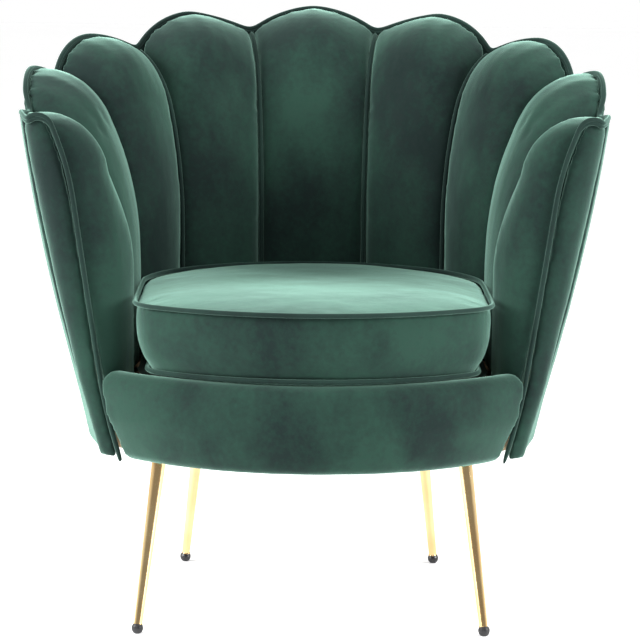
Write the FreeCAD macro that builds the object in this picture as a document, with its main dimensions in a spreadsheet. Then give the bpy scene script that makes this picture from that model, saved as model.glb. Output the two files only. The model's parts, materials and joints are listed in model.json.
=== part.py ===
import FreeCAD, Part
import math
import os
import Sketcher

# Scallop-back tub chair on four splayed metal legs, millimetres, +Z up, front of the seat at -Y.
# Origin: middle of the overall plan box, on the floor.

V = FreeCAD.Vector
doc = FreeCAD.newDocument("scallop_back_chair")
sheet = doc.addObject("Spreadsheet::Sheet", "Sheet")

# Driving dimensions.
DIMS = [
    ("shell_centre_y", -28.0, "middle of the round back, from the origin"),
    ("valley_radius", 275.0, "inner face at the sewn valleys, seat level"),
    ("rim_radius", 406.0, "plan radius of the rim cord"),
    ("base_radius", 320.0, "plan radius of the upholstery at the underside"),
    ("valley_one", 16.2, "degrees from the middle to the first valley at seat level"),
    ("valley_two", 44.5, "degrees to the second valley"),
    ("valley_three", 70.0, "degrees to the third valley"),
    ("notch_step", 27.4, "degrees between the notches of the rim"),
    ("arm_valley_x", 270.0, "first valley of the arm, half width"),
    ("arm_valley_y", -85.0, "first valley of the arm, from the middle of the back"),
    ("arm_front_x", 262.0, "inner line at the arm front, half width"),
    ("arm_front_y", -205.0, "arm front, from the middle of the back"),
    ("petal_bulge", 19.0, "how far a petal stands out from its valleys"),
    ("petal_foot", 332.0, "lower edge of the petals, hidden by the cushion"),
    ("wall_gap", 32.0, "petal back to outer face of the shell"),
    ("cord_radius", 3.4, "piping cord"),
    ("cord_gap", 0.4, "cloth beside the cord"),
    ("cord_sag", 0.35, "how far a straight run of cord may leave its arc"),
    ("notch_one", 695.0, "rim notch between arm petal and its neighbour"),
    ("notch_two", 739.0, "second rim notch"),
    ("notch_three", 770.0, "third rim notch"),
    ("notch_four", 795.0, "notches beside the middle petal"),
    ("peak_one", 703.0, "top of the arm petals"),
    ("peak_two", 754.0, "top of the second petals"),
    ("peak_three", 793.0, "top of the third petals"),
    ("peak_four", 823.0, "top of the fourth petals"),
    ("peak_five", 831.5, "top of the middle petal"),
    ("shell_bottom", 236.0, "underside of the upholstery"),
    ("edge_round", 20.0, "rounding of the lower edge"),
    ("panel_thick", 5.5, "outside cover with its wadding"),
    ("panel_bulge", 7.0, "outside swell between two seams"),
    ("rail_radius", 340.0, "bow of the front rail"),
    ("rail_centre", -10.0, "middle of the bow, from the middle of the back"),
    ("rail_flare", 18.0, "how far the rail ends lean out at the top"),
    ("rail_top", 357.0, "top of the padded front rail"),
    ("board_thick", 18.0, "plywood rings"),
    ("base_ring_z", 243.5, "underside of the lower ring"),
    ("seat_ring_z", 305.0, "underside of the upper ring"),
    ("ring_inner", 238.0, "radius of the opening in the rings"),
    ("ring_outer", 292.0, "radius of the rings at the back"),
    ("post_thick", 15.5, "back posts, across the wall"),
    ("post_wide", 26.0, "back posts, along the wall"),
    ("deck_pad_thick", 21.0, "padding on the webbing"),
    ("deck_cloth_thick", 1.2, "cloth on the seat deck"),
    ("webbing_thick", 1.6, "one layer of webbing"),
    ("webbing_wide", 50.0, "webbing strap"),
    ("cushion_half", 245.0, "seat cushion, half width"),
    ("cushion_back", 250.0, "seat cushion, back edge from the middle of the back"),
    ("cushion_bow", 347.0, "radius of the bowed front of the cushion"),
    ("cushion_corner", 80.0, "front corners of the cushion in plan"),
    ("cushion_foot", 359.0, "underside of the cushion"),
    ("cushion_seam", 452.0, "height of the upper piping"),
    ("cushion_crown", 465.0, "top of the cushion"),
    ("cushion_draw", 20.0, "lower edge of the cushion set in by"),
    ("cover_thick", 12.0, "cushion cover with its wadding"),
    ("leg_top_radius", 10.0, "leg tube at the top"),
    ("leg_foot_radius", 5.9, "leg tube at the foot"),
    ("leg_wall", 1.5, "wall of the leg tube"),
    ("leg_top_z", 238.0, "upper end of the legs"),
    ("leg_foot_z", 12.5, "lower end of the leg tube"),
    ("front_foot_x", 238.0, "front feet, half distance"),
    ("front_foot_y", -250.0, "front feet, from the middle of the back"),
    ("front_top_x", 209.5, "front legs at the top, half distance"),
    ("front_top_y", -200.0, "front legs at the top"),
    ("rear_foot_x", 188.5, "rear feet, half distance"),
    ("rear_foot_y", 231.0, "rear feet"),
    ("rear_top_x", 163.0, "rear legs at the top, half distance"),
    ("rear_top_y", 205.0, "rear legs at the top"),
    ("plate_side", 54.0, "square mounting plate"),
    ("plate_thick", 3.0, "mounting plate"),
    ("plate_hole", 5.2, "screw hole"),
    ("plate_hole_offset", 20.0, "screw hole from the middle of the plate"),
    ("glide_radius", 8.0, "foot glide at its widest"),
    ("glide_stem", 4.2, "stem of the glide in the tube"),
    ("dust_cloth_thick", 0.8, "cloth under the seat"),
]
sheet.set("A1", "name")
sheet.set("B1", "value")
sheet.set("C1", "what it is")
for row, (alias, value, note) in enumerate(DIMS, start=2):
    sheet.set("A%d" % row, alias)
    sheet.set("B%d" % row, str(value))
    sheet.set("C%d" % row, note)
    sheet.setAlias("B%d" % row, alias)
doc.recompute()


def g(name):
    return float(sheet.get(name))


YC = g("shell_centre_y")
CORD = g("cord_radius")
GAP = g("cord_radius") + g("cord_gap")
NODES = []


# Small geometry helpers.

def arc(a, b, c):
    return Part.Arc(a, b, c).toShape()


def line(a, b):
    return Part.LineSegment(a, b).toShape()


def loft(wires):
    # Straight strips between the sections.
    return Part.makeLoft(wires, True, True)


def mirror_x(shape):
    return shape.mirror(V(0, 0, 0), V(1, 0, 0))


def lerp(a, b, part):
    return a + (b - a) * part


def table(pairs, at):
    for (z0, x0), (z1, x1) in zip(pairs, pairs[1:]):
        if at <= z1:
            return lerp(x0, x1, (at - z0) / (z1 - z0))
    return pairs[-1][1]


def keep(obj, label):
    obj.Label = label
    NODES.append(obj)
    return obj


def feature(label, shape):
    obj = doc.addObject("Part::Feature", label)
    obj.Shape = shape
    obj.Placement = FreeCAD.Placement(V(0, YC, 0), FreeCAD.Rotation())
    return keep(obj, label)


def route(edges):
    # Points along arcs and lines, so close together that a run leaves its arc by no more than the sag.
    sag = g("cord_sag")
    points = []
    for edge in edges:
        first = edge.FirstParameter
        last = edge.LastParameter
        count = 1
        if hasattr(edge.Curve, "Radius"):
            count = math.ceil(edge.Length / math.sqrt(8 * sag * edge.Curve.Radius))
        for index in range(count):
            points.append(edge.valueAt(lerp(first, last, index / count)))
    points.append(edges[-1].valueAt(edges[-1].LastParameter))
    return points


def flat_face(points):
    return Part.Face(Part.makePolygon(points + points[:1]))


def cord(edges, closed=False):
    # Piping: an eight-sided tube, mitred at every point of its route.
    points = route(edges)
    if closed:
        points[-1] = points[0]
    runs = [(b - a).normalize() for a, b in zip(points, points[1:])]
    before = [runs[-1] if closed else runs[0]] + runs
    after = runs + [runs[0] if closed else runs[-1]]
    mitres = [(one + two).normalize() for one, two in zip(before, after)]
    side = runs[0].cross(V(0, 0, 1) if abs(runs[0].z) < 0.8 else V(0, 1, 0)).normalize()
    up = side.cross(runs[0])
    ring = []
    for corner in range(8):
        a = math.radians(22.5 + 45 * corner)
        start = points[0] + side * (CORD * math.cos(a)) + up * (CORD * math.sin(a))
        slide = (points[0] - start).dot(mitres[0]) / runs[0].dot(mitres[0])
        ring.append(start + runs[0] * slide)
    rings = [ring]
    for point, run, mitre in zip(points[1:], runs, mitres[1:]):
        ring = [p + run * ((point - p).dot(mitre) / run.dot(mitre)) for p in ring]
        rings.append(ring)
    if closed:
        rings[-1] = rings[0]
    faces = []
    for one, two in zip(rings, rings[1:]):
        for corner in range(8):
            turn = (corner + 1) % 8
            faces.append(flat_face([one[corner], one[turn], two[turn], two[corner]]))
    if not closed:
        faces += [flat_face(rings[0][::-1]), flat_face(rings[-1])]
    shell = Part.makeShell(faces)
    shell.sewShape()
    solid = Part.makeSolid(shell)
    if solid.Volume < 0:
        solid.reverse()
    return solid


# Plan lines. Everything in this part is measured from the middle of the round back.
# u counts petals from the left arm front, 0, to the right arm front, 9. v is the distance from 4.5.

NOTCH = {0.5: g("notch_four"), 1.5: g("notch_three"), 2.5: g("notch_two"), 3.5: g("notch_one")}
PEAK = {0: g("peak_five"), 1: g("peak_four"), 2: g("peak_three"), 3: g("peak_two"), 4: g("peak_one")}
FULL = {0: (0.8, 0.8), 1: (0.5, 0.9), 2: (0.9, 1.0), 3: (1.0, 1.0)}
ARM_CORNER = V(391, g("arm_front_y") + 9, 699)


def valley_point(v):
    radius = g("valley_radius")
    turns = [(0, 0), (0.5, g("valley_one")), (1.5, g("valley_two")), (2.5, g("valley_three"))]
    a = math.radians(table(turns, v))
    end = V(radius * math.sin(a), radius * math.cos(a), 0)
    if v <= 2.5:
        return end
    arm = V(g("arm_valley_x"), g("arm_valley_y"), 0)
    if v <= 3.5:
        part = v - 2.5
        point = end + (arm - end) * part
        point.x += 4.0 * math.sin(math.pi * part)
        return point
    return arm + (V(g("arm_front_x"), g("arm_front_y"), 0) - arm) * (v - 3.5)


def notch_point(v):
    a = math.radians(g("notch_step") * v)
    return V(g("rim_radius") * math.sin(a), g("rim_radius") * math.cos(a), NOTCH[v])


def half_scallop(peak, level, notch, full=1.0):
    # Arc from the peak, level there when full is 1 and straighter below that, down to the notch.
    chord = notch - peak
    along = chord.dot(level)
    drop = chord - level * along
    turn = 2 * math.atan2(drop.Length, along)
    radius = chord.dot(chord) / (2 * drop.Length)
    down = drop.normalize() * (radius * (1 - math.cos(turn / 2)))
    mid = peak + level * (radius * math.sin(turn / 2)) + down
    return peak, lerp((peak + notch) / 2, mid, full), notch


def rim_edges(k):
    # Rim line of the petal k places from the middle one, from its rear notch to its front notch.
    if k == 4:
        start = notch_point(3.5)
        mid = V(g("rim_radius") - 0.5, (start.y + ARM_CORNER.y) / 2, PEAK[4])
        return [arc(start, mid, ARM_CORNER)]
    a = math.radians(g("notch_step") * k)
    reach = g("rim_radius") + 3
    peak = V(reach * math.sin(a), reach * math.cos(a), PEAK[k])
    level = V(math.cos(a), -math.sin(a), 0)
    rear = notch_point(abs(k - 0.5))
    if k == 0:
        rear.x = -rear.x
    rear_full, front_full = FULL[k]
    peak, mid, rear = half_scallop(peak, level * -1, rear, rear_full)
    return [arc(rear, mid, peak), arc(*half_scallop(peak, level, notch_point(k + 0.5), front_full))]


def rim_at(k, part):
    # Point and direction of the rim line at a share of its way from notch to notch.
    edges = rim_edges(k)
    index = min(int(part * len(edges)), len(edges) - 1)
    edge = edges[index]
    at = lerp(edge.FirstParameter, edge.LastParameter, part * len(edges) - index)
    return edge.valueAt(at), edge.tangentAt(at)


# Front edge line of the arm, from the underside to the top, in a plane that leans back a little.

FRONT_LINE = [(236, 262.5), (290, 277.5), (342, 290), (467, 308), (575, 326), (635, 337), (688, 356)]


def front_x(z):
    return table(FRONT_LINE, z)


def front_y(z):
    return g("arm_front_y") - 17 + (z - 240) * 0.043


def front_point(x, z):
    return V(x, front_y(z), z)


# One vertical station through the shell wall: a point of the valley line, a direction outwards,
# the rim height and the distances from that point to the rim and to the lower edge.

class Station:
    def __init__(self, k, part, side=0.0):
        self.k = k
        self.part = part
        rim, along = rim_at(k, part)
        v = k - 0.5 + part
        if k == 0:
            seat = valley_point(abs(v))
            seat.x = math.copysign(seat.x, v) if v else 0.0
        else:
            seat = valley_point(v)
        self.rake = 0.0
        if k == 4:
            self.rake = 0.043 * part
        out = V(rim.x - seat.x, rim.y - seat.y, 0)
        self.depth = out.Length
        self.out = out.normalize()
        self.across = V(self.out.y, -self.out.x, 0)
        self.seat = V(seat.x, seat.y, 0) + self.across * side
        self.top = rim.z
        flat = math.hypot(along.x, along.y)
        self.under = GAP / max(0.4, flat)
        self.swell = math.sin(math.pi * min(max(part, 0), 1)) ** 0.75 if 0 < part < 1 else 0.0
        # lower edge of the shell: a round base that the ray from the valley meets
        b = self.seat.dot(self.out)
        c = self.seat.dot(self.seat) - g("base_radius") ** 2
        root = b * b - c
        self.foot = -b + math.sqrt(root) if root > 0 else 20.0
        self.bow = 2.0
        if k == 4:
            self.foot = lerp(48.0, 24.0, part)
            self.bow = lerp(3.0, 9.0, part)

    def at(self, d, z):
        p = self.seat + self.out * d
        return V(p.x, p.y + self.rake * (z - 500), z)

    def outer(self, z):
        part = (z - g("shell_bottom") - g("edge_round")) / (self.top - 256.0)
        return self.foot + (self.depth - self.foot) * part + 4 * self.bow * part * (1 - part)


def petal_wire(s):
    # Closed section of a petal: straight face, easy lean, roll over the top, hidden back.
    w = s.swell
    push = g("petal_bulge") * w
    foot = g("petal_foot")
    top = s.top - 1.5
    low = lerp(foot, top, 0.40)
    shoulder_z = top - 80 - 4 * w
    shoulder_d = 0.26 * s.depth - push * 0.85
    rise = shoulder_z - low
    lean = shoulder_d + push
    radius = (lean * lean + rise * rise) / (2 * lean)
    half = math.asin(rise / radius) / 2
    mid_d = -push + radius * (1 - math.cos(half))
    mid_z = low + radius * math.sin(half)
    end_d = s.depth - GAP - (1.6 if s.k == 4 else 0.5)
    roll_d = lerp(0.52, 0.44, w) * s.depth
    roll_z = top - lerp(33, 20, w)
    gap = g("wall_gap")
    back_z = top - 60
    pts = [
        s.at(-push, foot),
        s.at(-push, low),
        s.at(mid_d, mid_z),
        s.at(shoulder_d, shoulder_z),
        s.at(roll_d, roll_z),
        s.at(end_d, top),
        s.at(end_d - 12, top - 26),
        s.at(s.outer(back_z) - gap, back_z),
        s.at(s.outer(foot) - gap, foot),
    ]
    return Part.Wire([
        line(pts[0], pts[1]),
        arc(pts[1], pts[2], pts[3]),
        arc(pts[3], pts[4], pts[5]),
        line(pts[5], pts[6]),
        line(pts[6], pts[7]),
        line(pts[7], pts[8]),
        line(pts[8], pts[0]),
    ])


def panel_wire(s):
    # Closed section of the outside cover: turned in under the base, then up to the rim.
    t = g("panel_thick")
    low = g("shell_bottom")
    r = g("edge_round")
    top = s.top - s.under
    swell = g("panel_bulge") * (math.sin(math.pi * s.part) ** 0.8 if 0 < s.part < 1 else 0.0)
    mid = lerp(low + r, top, 0.55)
    foot = s.foot
    out_top = s.depth + 1.5
    out_mid = s.outer(mid) + swell * 0.8
    bend = 0.3
    return Part.Wire([
        arc(s.at(foot - r * 0.95, low), s.at(foot - r * bend, low + r * bend), s.at(foot, low + r)),
        arc(s.at(foot, low + r), s.at(out_mid, mid), s.at(out_top, top)),
        line(s.at(out_top, top), s.at(out_top - t, top)),
        line(s.at(out_top - t, top), s.at(foot - t, low + r)),
        line(s.at(foot - t, low + r), s.at(foot - r * 0.95, low + t)),
        line(s.at(foot - r * 0.95, low + t), s.at(foot - r * 0.95, low)),
    ])


# Petals: each one is lofted across its width through upright sections.

PETAL_PARTS = [0.06, 0.18, 0.34, 0.5, 0.66, 0.82, 0.94]


def petal_stations(k, gap):
    first = Station(k, 0.0, gap)
    last = Station(k, 1.0, -gap)
    return [first] + [Station(k, part) for part in PETAL_PARTS] + [last]


def arm_petal():
    # The arm petal ends in a round nose that turns back from the front edge line.
    stations = [Station(4, 0.0, GAP)] + [Station(4, part) for part in [0.07, 0.2, 0.35, 0.5]]
    wires = [petal_wire(s) for s in stations]
    nose = [(0.655, 1.0), (0.82, 0.80), (0.93, 0.50), (0.982, 0.12)]
    for part, full in nose:
        s = Station(4, part)
        foot = g("petal_foot")
        top = s.top - 1.5 - 4 * (1 - full)

        def x_in(z):
            edge_x = front_x(z) - 11
            face = table([(332, 253), (470, 252), (532, 258), (573, 266), (612, 278), (655, 294), (700, 331)], z)
            return lerp(edge_x, face, full)

        def x_back(z):
            wide = s.seat.x + s.outer(z) - g("wall_gap")
            return min(lerp(front_x(z) - 2, wide, full), wide + 40)

        y = s.seat.y
        end_x = lerp(376, s.seat.x + s.depth - GAP - 3.0, full)

        def at(x, z):
            return V(x, y + 0.043 * part * (z - 500), z)

        low = lerp(foot, top, 0.40)
        wires.append(Part.Wire([
            line(at(x_in(foot), foot), at(x_in(low), low)),
            arc(at(x_in(low), low), at(x_in(560), 560), at(x_in(625), 625)),
            arc(at(x_in(625), 625), at(lerp(346, 318, full), lerp(678, 688, full)), at(end_x, top)),
            line(at(end_x, top), at(end_x - 12, top - 24)),
            line(at(end_x - 12, top - 24), at(x_back(top - 60), top - 60)),
            line(at(x_back(top - 60), top - 60), at(x_back(foot), foot)),
            line(at(x_back(foot), foot), at(x_in(foot), foot)),
        ]))
    return loft(wires)


def petal(k):
    return loft([petal_wire(s) for s in petal_stations(k, GAP)])


shapes = {5: petal(0)}
for k in (1, 2, 3):
    shapes[5 + k] = petal(k)
    shapes[5 - k] = mirror_x(shapes[5 + k])
shapes[9] = arm_petal()
shapes[1] = mirror_x(shapes[9])
for number in range(1, 10):
    feature("petal_%d" % number, shapes[number])

# Outside covers, one behind each petal, with butted upright seams.

PANEL_PARTS = [0.1, 0.3, 0.5, 0.7, 0.9]


def panel(k):
    stations = [Station(k, 0.0, 0.4)] + [Station(k, part) for part in PANEL_PARTS]
    stations.append(Station(k, 1.0, -0.4))
    return loft([panel_wire(s) for s in stations])


def arm_panel():
    stations = [Station(4, 0.0, 0.4)] + [Station(4, part) for part in [0.1, 0.3, 0.5, 0.65, 0.78]]
    return loft([panel_wire(s) for s in stations])


covers = {5: panel(0)}
for k in (1, 2, 3):
    covers[5 + k] = panel(k)
    covers[5 - k] = mirror_x(covers[5 + k])
covers[9] = arm_panel()
covers[1] = mirror_x(covers[9])
for number in range(1, 10):
    feature("outside_panel_%d" % number, covers[number])

# Padded front band of each arm: from the front edge line round to the outside cover.

LAST = Station(4, 0.78)


def band_wire(z):
    edge = LAST.at(LAST.outer(z), z)
    inner = LAST.at(LAST.outer(z) - 9, z)
    x0 = front_x(z) + GAP + 0.6
    x1 = edge.x
    y0 = front_y(z) + 1.0
    if z > 650:
        x0 = table([(650, front_x(650) + GAP + 0.6), (684, 360.5), (696, 367), (702, 374)], z)
        x1 = table([(650, LAST.at(LAST.outer(650), 650).x), (686, 394), (696, 391), (702, 384)], z)
        inner.x = x1 - 9
    y1 = edge.y - 0.8
    rise = y1 - y0
    wide = x1 - x0
    a = V(x0, y0 + 3, z)
    b = V(x0 + wide * 0.62, y0 + rise * 0.16, z)
    c = V(x1, y1, z)
    return Part.Wire([
        arc(a, b, c),
        line(c, V(inner.x, inner.y - 0.8, z)),
        line(V(inner.x, inner.y - 0.8, z), V(x0, y0 + 14, z)),
        line(V(x0, y0 + 14, z), a),
    ])


band = loft([band_wire(z) for z in (240, 345, 470, 580, 650, 672, 686, 696, 702)])
band = band.cut(shapes[9])
feature("arm_front_right", band)
feature("arm_front_left", mirror_x(band))

# Seam pipings in the eight valleys.


def seam_cord(v):
    k = int(v + 0.5)
    s = Station(k, 0.0)
    foot = g("petal_foot") + 6
    top = s.top - 1.5
    low = lerp(g("petal_foot"), top, 0.40)
    shoulder_z = top - 80
    shoulder_d = 0.26 * s.depth
    rise = shoulder_z - low
    radius = (shoulder_d ** 2 + rise ** 2) / (2 * shoulder_d)
    half = math.asin(rise / radius) / 2
    mid_d = radius * (1 - math.cos(half))
    mid_z = low + radius * math.sin(half)
    end_d = s.depth - 2 * CORD - 1.5
    edges = [
        line(s.at(0, foot), s.at(0, low)),
        arc(s.at(0, low), s.at(mid_d, mid_z), s.at(shoulder_d, shoulder_z)),
        arc(s.at(shoulder_d, shoulder_z), s.at(0.52 * s.depth, top - 33), s.at(end_d, top - 1)),
    ]
    return cord(edges)


for index, v in enumerate((3.5, 2.5, 1.5, 0.5)):
    right = seam_cord(v)
    feature("seam_piping_%d" % (8 - index), right)
    feature("seam_piping_%d" % (1 + index), mirror_x(right))

# Rim piping: one cord up the left arm front, along the scallops and down the right arm front.



def turned(edge):
    # The same arc, run from its other end.
    first = edge.FirstParameter
    last = edge.LastParameter
    return arc(edge.valueAt(last), edge.valueAt((first + last) / 2), edge.valueAt(first))


front_edges = [
    arc(ARM_CORNER, front_point(375, 705.5), front_point(356, 688)),
    arc(front_point(356, 688), front_point(338, 638), front_point(326, 575)),
    arc(front_point(326, 575), front_point(309, 467), front_point(290, 342)),
    arc(front_point(290, 342), front_point(278, 290), front_point(262.5, 238)),
]
right_side = [edge for k in (1, 2, 3, 4) for edge in rim_edges(k)] + front_edges
middle = rim_edges(0)
left_side = [mirror_x(edge) for edge in right_side]
rim_route = [turned(edge) for edge in reversed(left_side)] + middle + right_side
feature("rim_piping", cord(rim_route))

# Padded front rail: a bowed band whose ends lean out to the arm fronts.


def rail_wire(z, inner, outer, spread):
    # Level section of the rail: outer bow, end, inner bow, end. Its radii grow by the flare at the ends.
    low = g("shell_bottom")
    ends = []
    for part in (-1, 0, 1):
        turn = math.radians(51.1 * part)
        out = V(math.sin(turn), -math.cos(turn), 0)
        across = V(math.cos(turn), math.sin(turn), 0)
        slide = 0.19 * part * (z - low) - (GAP + 0.6) * part
        base = V(0, g("rail_centre"), z) + across * slide
        flare = g("rail_flare") * spread * part * part
        ends.append((base + out * (inner + flare), base + out * (outer + flare)))
    (in_a, out_a), (in_b, out_b), (in_c, out_c) = ends
    return Part.Wire([arc(out_a, out_b, out_c), line(out_c, in_c), arc(in_c, in_b, in_a), line(in_a, out_a)])


def front_rail():
    low = g("shell_bottom")
    top = g("rail_top")
    r = g("rail_radius")
    rows = [
        (low, r - 27, r - 20, 0.0),
        (low + 6, r - 24, r - 7, 0.0),
        (low + 24, r - 12, r, 0.0),
        (lerp(low, top, 0.5), r - 13, r + 6, 0.5),
        (top - 18, r - 14, r + 2, 1.0),
        (top - 5.5, r - 25, r - 3.5, 1.0),
        (top, r - 36, r - 16, 1.0),
    ]
    return loft([rail_wire(*row) for row in rows])


feature("front_rail_cover", front_rail())

# Seat cushion: boxed, bowed at the front, round at the back, crowned on top.


def cushion_wire(inset, z, scale=1.0):
    # Parallel to the plan outline by inset, then drawn in about the middle of the seat by scale.
    a = g("cushion_half") - inset
    bow = g("cushion_bow") - inset
    corner = g("cushion_corner") - inset
    yc = -8.0
    cx = g("cushion_half") - g("cushion_corner")
    reach = g("cushion_bow") - g("cushion_corner")
    cy = yc - math.sqrt(reach ** 2 - cx ** 2)
    ux = cx / reach
    uy = (cy - yc) / reach
    length = math.hypot(1 + ux, uy)
    rear_y = g("cushion_back") - g("cushion_half")
    middle = -45.0

    def p(x, y):
        return V(x * scale, middle + (y - middle) * scale, z)

    side = (a, cy)
    mid = (cx + corner * (1 + ux) / length, cy + corner * uy / length)
    tip = (bow * ux, yc + bow * uy)
    return Part.Wire([
        arc(p(-a, rear_y), p(0, rear_y + a), p(a, rear_y)),
        line(p(a, rear_y), p(*side)),
        arc(p(*side), p(*mid), p(*tip)),
        arc(p(*tip), p(0, yc - bow), p(-tip[0], tip[1])),
        arc(p(-tip[0], tip[1]), p(-mid[0], mid[1]), p(-side[0], side[1])),
        line(p(-side[0], side[1]), p(-a, rear_y)),
    ])


def cushion_solid():
    foot = g("cushion_foot")
    seam = g("cushion_seam")
    rise = g("cushion_crown") - seam
    draw = g("cushion_draw")
    edge = CORD + 2
    wires = [
        cushion_wire(draw + 6, foot),
        cushion_wire(draw + 2.3, foot + 8),
        cushion_wire(draw - 7, foot + 22),
        cushion_wire(5.5, foot + 45),
        cushion_wire(3.5, lerp(foot, seam, 0.8)),
        cushion_wire(edge, seam),
    ]
    wires += [cushion_wire(edge, seam + rise * (1 - step ** 4), step) for step in (0.95, 0.85, 0.68, 0.45)]
    return loft(wires)


def core_block(grow):
    # Foam slab with upright sides.
    wall = g("cover_thick")
    low = g("cushion_foot") + wall - grow
    high = g("cushion_seam") + 1.5 - wall + grow
    face = Part.Face(cushion_wire(g("cushion_draw") + wall + 6 - grow, low))
    return face.extrude(V(0, 0, high - low))


feature("cushion_cover", cushion_solid().cut(core_block(0.3)))
feature("cushion_core", core_block(0.0))


def loop_cord(inset, z):
    return cord(cushion_wire(inset, z).OrderedEdges, True)


feature("cushion_piping_top", loop_cord(1.6, g("cushion_seam") + 1.5))
feature("cushion_piping_bottom", loop_cord(g("cushion_draw") - 1.2, g("cushion_foot") + 3.5))


# Bodies with sketches. One function places a sketch on an origin plane at a height.

def plane(body, role):
    return [o for o in body.Origin.OriginFeatures if o.Role == role][0]


def new_body(label):
    body = doc.addObject("PartDesign::Body", label)
    body.Label = label
    return body


def new_sketch(body, name, role="XY_Plane", height=None):
    sketch = body.newObject("Sketcher::SketchObject", name)
    sketch.AttachmentSupport = [(plane(body, role), "")]
    sketch.MapMode = "FlatFace"
    if height is not None:
        sketch.setExpression(".AttachmentOffset.Base.z", height)
    return sketch


def pad(body, sketch, name, length):
    feat = body.newObject("PartDesign::Pad", name)
    feat.Profile = sketch
    feat.setExpression("Length", length)
    return feat


def circle(sketch, radius, expression, x=0.0, y=0.0):
    index = sketch.addGeometry(Part.Circle(V(x, y, 0), V(0, 0, 1), radius), False)
    number = sketch.addConstraint(Sketcher.Constraint("Radius", index, radius))
    sketch.setExpression("Constraints[%d]" % number, expression)
    if x == 0.0 and y == 0.0:
        sketch.addConstraint(Sketcher.Constraint("Coincident", index, 3, -1, 1))
    return index


def polygon(sketch, points):
    first = None
    for a, b in zip(points, points[1:] + points[:1]):
        index = sketch.addGeometry(Part.LineSegment(V(a[0], a[1], 0), V(b[0], b[1], 0)), False)
        if first is None:
            first = index
    last = first + len(points) - 1
    for index in range(first, last):
        sketch.addConstraint(Sketcher.Constraint("Coincident", index, 2, index + 1, 1))
    sketch.addConstraint(Sketcher.Constraint("Coincident", last, 2, first, 1))
    return first


def rectangle(sketch, cx, cy, wide, deep, turn=0.0):
    a = math.radians(turn)
    pts = []
    for sx, sy in ((-1, -1), (1, -1), (1, 1), (-1, 1)):
        x = sx * wide / 2
        y = sy * deep / 2
        pts.append((cx + x * math.cos(a) - y * math.sin(a), cy + x * math.sin(a) + y * math.cos(a)))
    return polygon(sketch, pts)


def tub_outline(sketch, back, front, yc=0.0):
    # Round back and a longer bowed front, as four tangent-like arcs.
    corner_x = 0.765 * front
    corner_y = -0.652 * front
    side_x = (back + corner_x) / 2 + 0.085 * back
    pts = [
        (V(back, yc, 0), V(0, yc + back, 0), V(-back, yc, 0)),
        (V(-back, yc, 0), V(-side_x, corner_y / 2, 0), V(-corner_x, corner_y, 0)),
        (V(-corner_x, corner_y, 0), V(0, -front, 0), V(corner_x, corner_y, 0)),
        (V(corner_x, corner_y, 0), V(side_x, corner_y / 2, 0), V(back, yc, 0)),
    ]
    first = None
    for a, b, c in pts:
        index = sketch.addGeometry(Part.Arc(a, b, c), False)
        if first is None:
            first = index
    return first


def place(obj, x=0.0, y=0.0, z=0.0, rotation=None):
    obj.Placement = FreeCAD.Placement(V(x, y + YC, z), rotation or FreeCAD.Rotation())


# Plywood rings: the lower one carries the legs, the upper one the seat.

for label, height in (("frame_base_ring", "Sheet.base_ring_z"), ("frame_seat_ring", "Sheet.seat_ring_z")):
    body = new_body(label)
    sketch = new_sketch(body, label + "_outline", "XY_Plane", height)
    tub_outline(sketch, g("ring_outer"), g("rail_radius") - 26)
    circle(sketch, g("ring_inner"), "Sheet.ring_inner")
    pad(body, sketch, label + "_pad", "Sheet.board_thick")
    place(body)
    keep(body, label)

# Uprights between the rings, a group of equal blocks.

body = new_body("frame_uprights")
sketch = new_sketch(body, "uprights_outline", "XY_Plane", "Sheet.base_ring_z + Sheet.board_thick")
for turn in (0, 36, 72, 108, 252, 288, 324):
    a = math.radians(turn)
    rectangle(sketch, 272 * math.sin(a), 272 * math.cos(a), 44, 30, -turn)
pad(body, sketch, "uprights_pad", "Sheet.seat_ring_z - Sheet.base_ring_z - Sheet.board_thick")
place(body)
keep(body, "frame_uprights")

# Bent board under the padding of the front rail.

body = new_body("frame_front_board")
sketch = new_sketch(body, "front_board_outline", "XY_Plane", "Sheet.base_ring_z + Sheet.board_thick")
outer_r = g("rail_radius") - 26
inner_r = outer_r - 14
a = math.radians(44)
yc = g("rail_centre")
o1 = V(outer_r * math.sin(a), yc - outer_r * math.cos(a), 0)
i1 = V(inner_r * math.sin(a), yc - inner_r * math.cos(a), 0)
sketch.addGeometry(Part.Arc(V(-o1.x, o1.y, 0), V(0, yc - outer_r, 0), o1), False)
sketch.addGeometry(Part.LineSegment(o1, i1), False)
sketch.addGeometry(Part.Arc(i1, V(0, yc - inner_r, 0), V(-i1.x, i1.y, 0)), False)
sketch.addGeometry(Part.LineSegment(V(-i1.x, i1.y, 0), V(-o1.x, o1.y, 0)), False)
pad(body, sketch, "front_board_pad", "Sheet.seat_ring_z - Sheet.base_ring_z - Sheet.board_thick")
place(body)
keep(body, "frame_front_board")

# Back posts in the seam planes and the two arm posts, leaning with the outer face.


def post(s, z0, z1):
    t = g("post_thick")
    half = g("post_wide") / 2
    skin = g("panel_thick") + (4.5 if s.k < 4 else 6.2)
    rings = []
    for z in (z0, z1):
        face = s.at(s.outer(z), z)
        out = V(face.x, face.y, 0).normalize()
        if s.k == 4:
            out = V(1, 0, 0) if s.part > 0.1 else out
        side = V(-out.y, out.x, 0) * half
        near = face - out * skin
        far = near - out * t
        rings.append(Part.makePolygon([near - side, near + side, far + side, far - side, near - side]))
    return loft(rings)


foot_z = g("seat_ring_z") + g("board_thick")
posts = []
for v in (0.5, 1.5, 2.5, 3.5):
    s = Station(int(v + 0.5), 0.0)
    posts.append(post(s, foot_z, s.top - 52))
arm = Station(4, 0.55)
posts.append(post(arm, foot_z, arm.top - 62))
posts += [mirror_x(p) for p in posts]
feature("back_posts", Part.makeCompound(posts))

# Top rails: straight bars on the post heads.


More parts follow.
